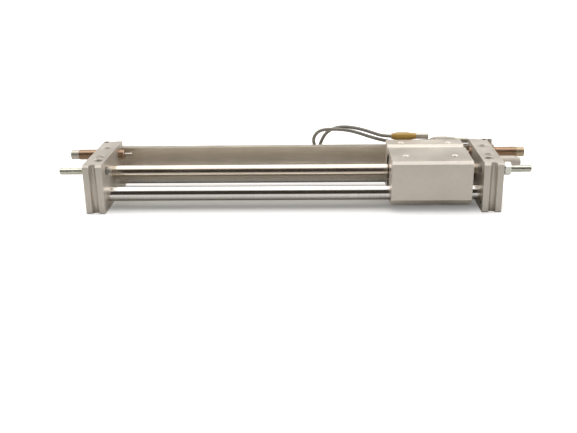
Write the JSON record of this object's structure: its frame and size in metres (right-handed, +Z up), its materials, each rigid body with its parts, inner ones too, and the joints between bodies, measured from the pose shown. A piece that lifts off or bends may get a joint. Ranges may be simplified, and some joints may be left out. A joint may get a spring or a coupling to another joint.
{
  "type": "rodless pneumatic cylinder",
  "caption": "Magnetically coupled rodless air cylinder: a slide block rides on round guide shafts between two end plates, with shock absorbers, stop bolts and switch leads.",
  "frame": {"origin": "on the underside, at the centre of the four foot holes of the two end plates, below the middle of the tube", "axes": "+X along the travel to the right-hand end plate, which has the air fitting; +Y across the travel to the switch rail; +Z up, away from the mounting surface"},
  "size_m": [0.5235, 0.1144, 0.0705],
  "materials": {
    "plate": "satin anodised",
    "block": "satin anodised",
    "rail": "satin anodised extrusion",
    "tube": "bright drawn",
    "ground_steel": "ground and hard plated",
    "bare_aluminium": "machined",
    "black_steel": "black oxide",
    "dark_steel": "bronze-black",
    "zinc_steel": "zinc plated",
    "fitting": "moulded",
    "tan_cap": "moulded",
    "magnet": "sintered",
    "yoke": "turned",
    "white_plastic": "moulded",
    "nickel": "plated",
    "grey_bumper": "moulded",
    "bronze": "turned",
    "bronze_plastic": "filled plastic",
    "black_rubber": "matt",
    "switch": "moulded",
    "lead": "satin jacket",
    "yellow_plastic": "moulded",
    "pale_plastic": "moulded",
    "plated_sleeve": "plated"
  },
  "bodies": {
    "frame": {"left_end_plate": "plate", "right_end_plate": "plate", "cylinder_tube": "tube", "tube_end_collars": "bare_aluminium", "tube_gaskets": "black_rubber", "front_guide_shaft": "ground_steel", "rear_guide_shaft": "ground_steel", "shaft_set_screws": "black_steel", "bolt_lock_screws": "zinc_steel", "inner_face_screws": "zinc_steel", "switch_rail": "rail", "rail_clamp_screws": "black_steel", "rail_stop_screw": "bare_aluminium", "port_fitting": "fitting", "release_ring": "fitting", "left_port_plug": "zinc_steel", "right_bolt_nut": "zinc_steel", "right_bolt_jam_nut": "black_steel", "left_absorber_body": "dark_steel", "right_absorber_body": "dark_steel", "left_absorber_cap": "zinc_steel", "right_absorber_cap": "tan_cap", "left_switch": "switch", "right_switch": "switch", "switch_screws": "zinc_steel", "left_lead": "lead", "right_lead": "lead", "left_connector": "yellow_plastic", "right_connector": "pale_plastic", "left_connector_sleeve": "plated_sleeve", "right_connector_sleeve": "plated_sleeve"},
    "slider": {"slide_block": "block", "outer_magnets": "magnet", "outer_yokes": "yoke", "tube_wear_rings": "white_plastic", "block_end_covers": "bare_aluminium", "cover_rings": "black_steel", "grease_nipples": "nickel", "guide_bushings": "bronze", "bushing_seals": "black_rubber", "strike_pads": "zinc_steel", "switch_magnet": "magnet"},
    "piston": {"piston_shaft": "ground_steel", "inner_magnets": "magnet", "inner_yokes": "yoke", "pistons": "bare_aluminium", "piston_seals": "black_rubber", "piston_wear_rings": "bronze_plastic", "piston_nuts": "zinc_steel", "piston_bumpers": "black_rubber"},
    "left_bolt": {"left_adjusting_bolt": "zinc_steel", "left_bolt_bumper": "grey_bumper"},
    "right_bolt": {"right_adjusting_bolt": "zinc_steel", "right_bolt_bumper": "grey_bumper"},
    "left_rod": {"left_absorber_rod": "ground_steel"},
    "right_rod": {"right_absorber_rod": "ground_steel"}
  },
  "joints": [
    {"name": "slider_travel", "type": "slide", "parent": "frame", "child": "slider", "axis": [-1, 0, 0], "range_m": [0, 0.2955]},
    {"name": "piston_travel", "type": "slide", "parent": "frame", "child": "piston", "axis": [-1, 0, 0], "range_m": [0, 0.2955]},
    {"name": "left_bolt_adjust", "type": "slide", "parent": "frame", "child": "left_bolt", "axis": [1, 0, 0], "range_m": [0, 0.007]},
    {"name": "right_bolt_adjust", "type": "slide", "parent": "frame", "child": "right_bolt", "axis": [-1, 0, 0], "range_m": [0, 0.007]},
    {"name": "left_absorber_stroke", "type": "slide", "parent": "frame", "child": "left_rod", "axis": [-1, 0, 0], "range_m": [0, 0.007], "stiffness_N_per_m": 800},
    {"name": "right_absorber_stroke", "type": "slide", "parent": "frame", "child": "right_rod", "axis": [1, 0, 0], "range_m": [0, 0.007], "stiffness_N_per_m": 800}
  ],
  "couplings": [
    {"joint": "piston_travel", "follows": "slider_travel", "ratio": 1}
  ]
}
